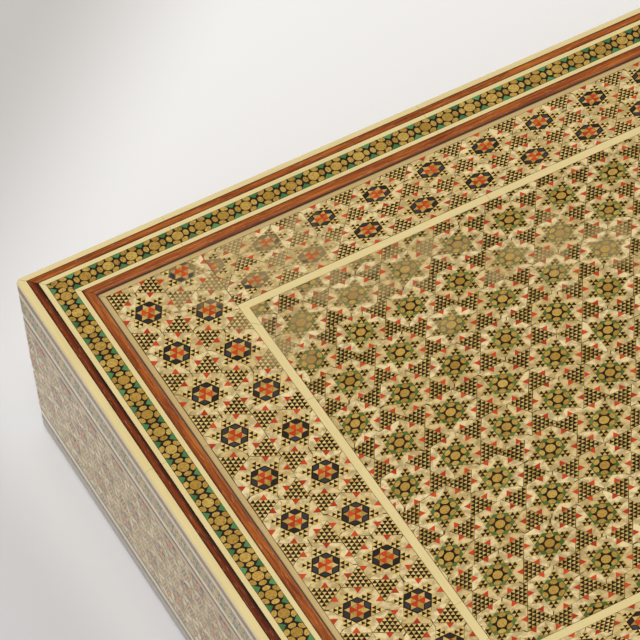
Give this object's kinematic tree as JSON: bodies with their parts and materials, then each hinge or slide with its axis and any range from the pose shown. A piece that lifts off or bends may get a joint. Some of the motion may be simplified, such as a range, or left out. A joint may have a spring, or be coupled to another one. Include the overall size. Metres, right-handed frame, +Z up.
{
  "type": "jewelry box",
  "caption": "Rectangular wooden jewelry box with a hinged lid, veneered in star-patterned khatam marquetry with bone and padouk lines.",
  "frame": {"origin": "centre of the underside of the closed box", "axes": "+X along the width, to the right for someone in front of the box; -Y is the front, where the lid lifts; +Z up"},
  "size_m": [0.25, 0.19, 0.052],
  "materials": {
    "poplar": "plain sanded wood, thin lacquer",
    "padouk": "red-brown wood, rubbed lacquer",
    "dark_padouk": "dark red-brown wood, rubbed lacquer",
    "bone": "cream camel bone, lacquered",
    "flower_mosaic": "brass, green and ebony rods, lacquered",
    "red_star_mosaic": "bone, brass, red and ebony rods, lacquered",
    "green_star_mosaic": "bone, brass, green and ebony rods, lacquered",
    "plinth_wood": "grey-brown edge veneer, lacquered",
    "velvet": "short-pile velvet",
    "brass": "plain rolled brass"
  },
  "bodies": {
    "base": {"base_bone_line": "bone", "base_dark_line_lower": "dark_padouk", "base_dark_line_upper": "dark_padouk", "base_floor": "poplar", "base_mosaic_back": "red_star_mosaic", "base_mosaic_front": "red_star_mosaic", "base_mosaic_left": "red_star_mosaic", "base_mosaic_right": "red_star_mosaic", "base_plinth": "plinth_wood", "base_rim_padouk": "padouk", "base_wall_back": "poplar", "base_wall_front": "poplar", "base_wall_left": "poplar", "base_wall_right": "poplar", "hinge_left_base_leaf": "brass", "hinge_left_base_screw_a": "brass", "hinge_left_base_screw_b": "brass", "hinge_left_pin": "brass", "hinge_right_base_leaf": "brass", "hinge_right_base_screw_a": "brass", "hinge_right_base_screw_b": "brass", "hinge_right_pin": "brass", "lining_floor": "velvet", "lining_walls": "velvet"},
    "lid": {"hinge_left_lid_leaf": "brass", "hinge_left_lid_screw_a": "brass", "hinge_left_lid_screw_b": "brass", "hinge_right_lid_leaf": "brass", "hinge_right_lid_screw_a": "brass", "hinge_right_lid_screw_b": "brass", "lid_board": "poplar", "lid_border_back": "red_star_mosaic", "lid_border_front": "red_star_mosaic", "lid_border_left": "red_star_mosaic", "lid_border_right": "red_star_mosaic", "lid_edge_band": "bone", "lid_field": "green_star_mosaic", "lid_field_edge": "bone", "lid_field_line": "bone", "lid_inner_bone": "bone", "lid_inner_padouk": "padouk", "lid_outer_bone": "bone", "lid_outer_padouk": "padouk", "lid_rail_back": "poplar", "lid_rail_front": "poplar", "lid_rail_left": "poplar", "lid_rail_right": "poplar", "lid_side_bone_lower": "bone", "lid_side_bone_upper": "bone", "lid_side_flowers_back": "flower_mosaic", "lid_side_flowers_front": "flower_mosaic", "lid_side_flowers_left": "flower_mosaic", "lid_side_flowers_right": "flower_mosaic", "lid_side_padouk": "padouk", "lid_top_flowers_back": "flower_mosaic", "lid_top_flowers_front": "flower_mosaic", "lid_top_flowers_left": "flower_mosaic", "lid_top_flowers_right": "flower_mosaic", "lining_lid": "velvet"}
  },
  "joints": [
    {"name": "lid_hinge", "type": "hinge", "parent": "base", "child": "lid", "pos_m": [0, 0.0938, 0.03985], "axis": [-1, 0, 0], "range_deg": [0, 100]}
  ]
}
